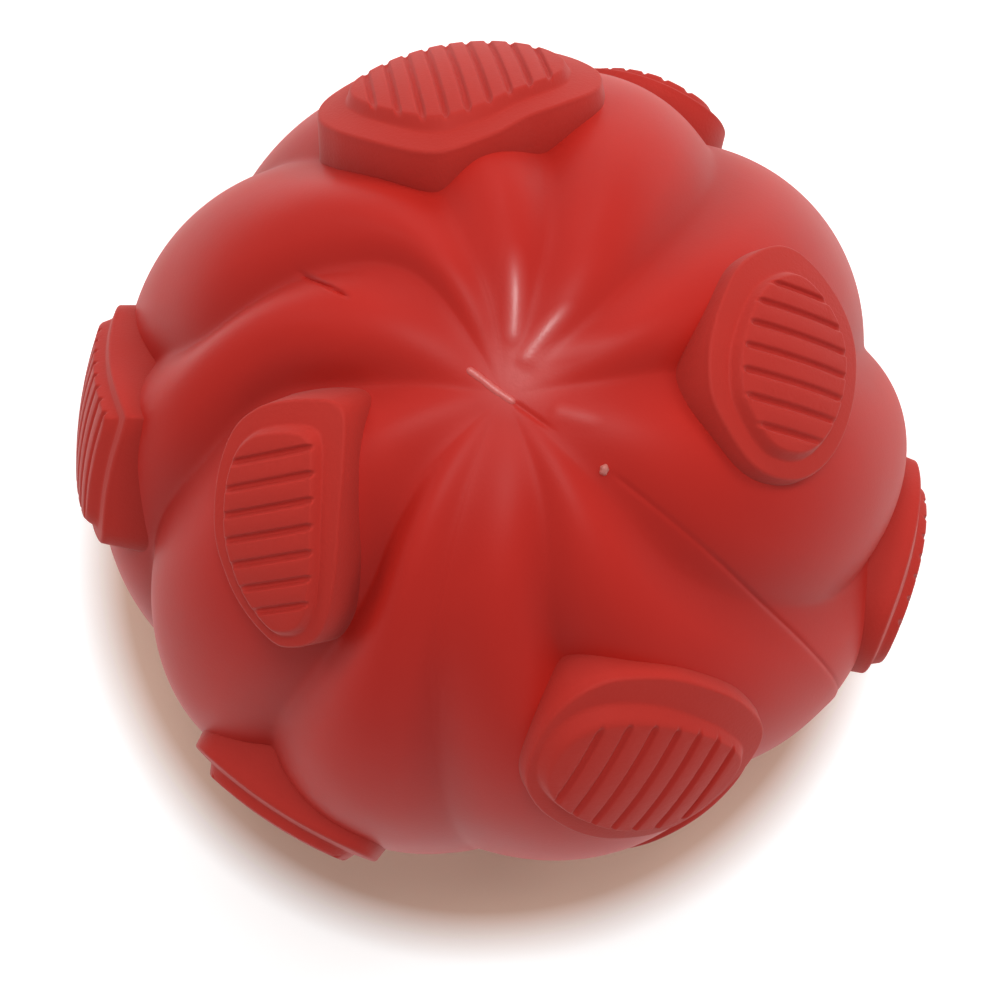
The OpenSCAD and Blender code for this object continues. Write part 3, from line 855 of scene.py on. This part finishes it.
# Each lamp's place and watts, and whether glossy rays see it
LAMPS = {
    "top": ((0.04, 0.155, 0.681), 1.32, True),
    "right": ((0.4915, 0.2867, 0.4096), 1.0, False),
    "back": ((0, 0.5888, 0.3785), 0.72, False),
    "left": ((-0.502, 0.251, 0.4183), 0.5, False),
    "front": ((-0.0889, -0.5334, 0.4445), 0.24, False),
}
WORLD_COLOUR = (1, 0.995, 0.985, 1)
WORLD_LIGHT, WORLD_SHOWN = 0.29, 1.0

# The photograph's size, focal length and centre in pixels, and where its camera stood
PHOTO_W, PHOTO_H = 1000, 1001
FOCAL_PX = 1657.6
CENTRE_PX = (504.0, 464.6)
CAMERA_BACK = (0, -0.149, 0.9888)
CAMERA_UP = (0, 0.9888, 0.149)
CAMERA_AWAY = 0.2
SENSOR_MM = 36
CLIP = (0.01, 20)


def seen_ray(nodes, links):
    """1 for the rays that show the background: camera, glossy and transmission rays."""
    path = nodes.new("ShaderNodeLightPath")
    seen = path.outputs["Is Camera Ray"]
    for other in ("Is Glossy Ray", "Is Transmission Ray"):
        larger = nodes.new("ShaderNodeMath")
        larger.operation = "MAXIMUM"
        links.new(seen, larger.inputs[0])
        links.new(path.outputs[other], larger.inputs[1])
        seen = larger.outputs[0]
    return seen


def stage_floor():
    """A white floor, with a painted shadow: a warm tint round the ball, where its shade falls."""
    mesh = bpy.data.meshes.new("floor")
    s, z = FLOOR_HALF, -STAND_H * MM
    mesh.from_pydata([(-s, -s, z), (s, -s, z), (s, s, z), (-s, s, z)], [], [(0, 1, 2, 3)])
    floor = bpy.data.objects.new("floor", mesh)
    bpy.context.scene.collection.objects.link(floor)
    material, nodes, links, shader, place = new_material("floor")
    away = nodes.new("ShaderNodeVectorMath")
    away.operation = "DISTANCE"
    away.inputs[1].default_value = (*PAINTED_SHADOW_AT, z)
    links.new(place, away.inputs[0])
    # Painted shadow: near the ball the floor is tinted warm, and its white lift for camera rays fades in
    # only outside that
    white = range_node(nodes, links, away.outputs["Value"], 0, 1, PAINTED_SHADOW_FADE)
    colour = ramp_node(nodes, links, white, [(0, PAINTED_SHADOW_TINT), (WHITE_FROM, FLOOR_WHITE)])
    links.new(colour, shader.inputs["Base Color"])
    shader.inputs["Roughness"].default_value = FLOOR_ROUGHNESS
    lift = nodes.new("ShaderNodeMath")
    lift.operation = "MULTIPLY"
    links.new(seen_ray(nodes, links), lift.inputs[0])
    links.new(range_node(nodes, links, white, 0, FLOOR_LIFT, (0, 1)), lift.inputs[1])
    shader.inputs["Emission Color"].default_value = (1, 1, 1, 1)
    links.new(lift.outputs[0], shader.inputs["Emission Strength"])
    mesh.materials.append(material)


def area_light(name, place, watts, glossy):
    data = bpy.data.lights.new(name, "AREA")
    data.shape = "DISK"
    data.size = LAMP_D
    data.energy = watts
    light = bpy.data.objects.new(name, data)
    light.location = place
    light.visible_glossy = glossy
    light.rotation_mode = "QUATERNION"
    light.rotation_quaternion = (-Vector(place)).to_track_quat("-Z", "Y")
    bpy.context.scene.collection.objects.link(light)


def white_world():
    """An even pale world that lights the ball, and that is shown as white."""
    world = bpy.data.worlds.new("studio")
    bpy.context.scene.world = world
    world.use_nodes = True
    nodes, links = world.node_tree.nodes, world.node_tree.links
    background = nodes["Background"]
    pick = nodes.new("ShaderNodeMix")
    pick.data_type = "FLOAT"
    pick.inputs[2].default_value = WORLD_LIGHT
    pick.inputs[3].default_value = WORLD_SHOWN
    links.new(seen_ray(nodes, links), pick.inputs[0])
    links.new(pick.outputs[0], background.inputs["Strength"])
    background.inputs["Color"].default_value = WORLD_COLOUR


def photo_camera():
    data = bpy.data.cameras.new("camera")
    camera = bpy.data.objects.new("camera", data)
    bpy.context.scene.collection.objects.link(camera)
    data.sensor_fit = "AUTO"
    data.sensor_width = SENSOR_MM
    data.lens = FOCAL_PX / PHOTO_H * SENSOR_MM
    data.shift_x = (PHOTO_W / 2 - CENTRE_PX[0]) / PHOTO_H
    data.shift_y = -(PHOTO_H / 2 - CENTRE_PX[1]) / PHOTO_H
    data.clip_start, data.clip_end = CLIP
    back = Vector(CAMERA_BACK).normalized()
    right = Vector(CAMERA_UP).cross(back).normalized()
    turned = Matrix((right, back.cross(right), back)).transposed().to_4x4()
    camera.matrix_world = Matrix.Translation(back * CAMERA_AWAY) @ turned
    bpy.context.scene.camera = camera


stage_floor()
for name, (place, watts, glossy) in LAMPS.items():
    area_light(name, place, watts, glossy)
white_world()
photo_camera()
bpy.context.scene.view_settings.view_transform = "Standard"
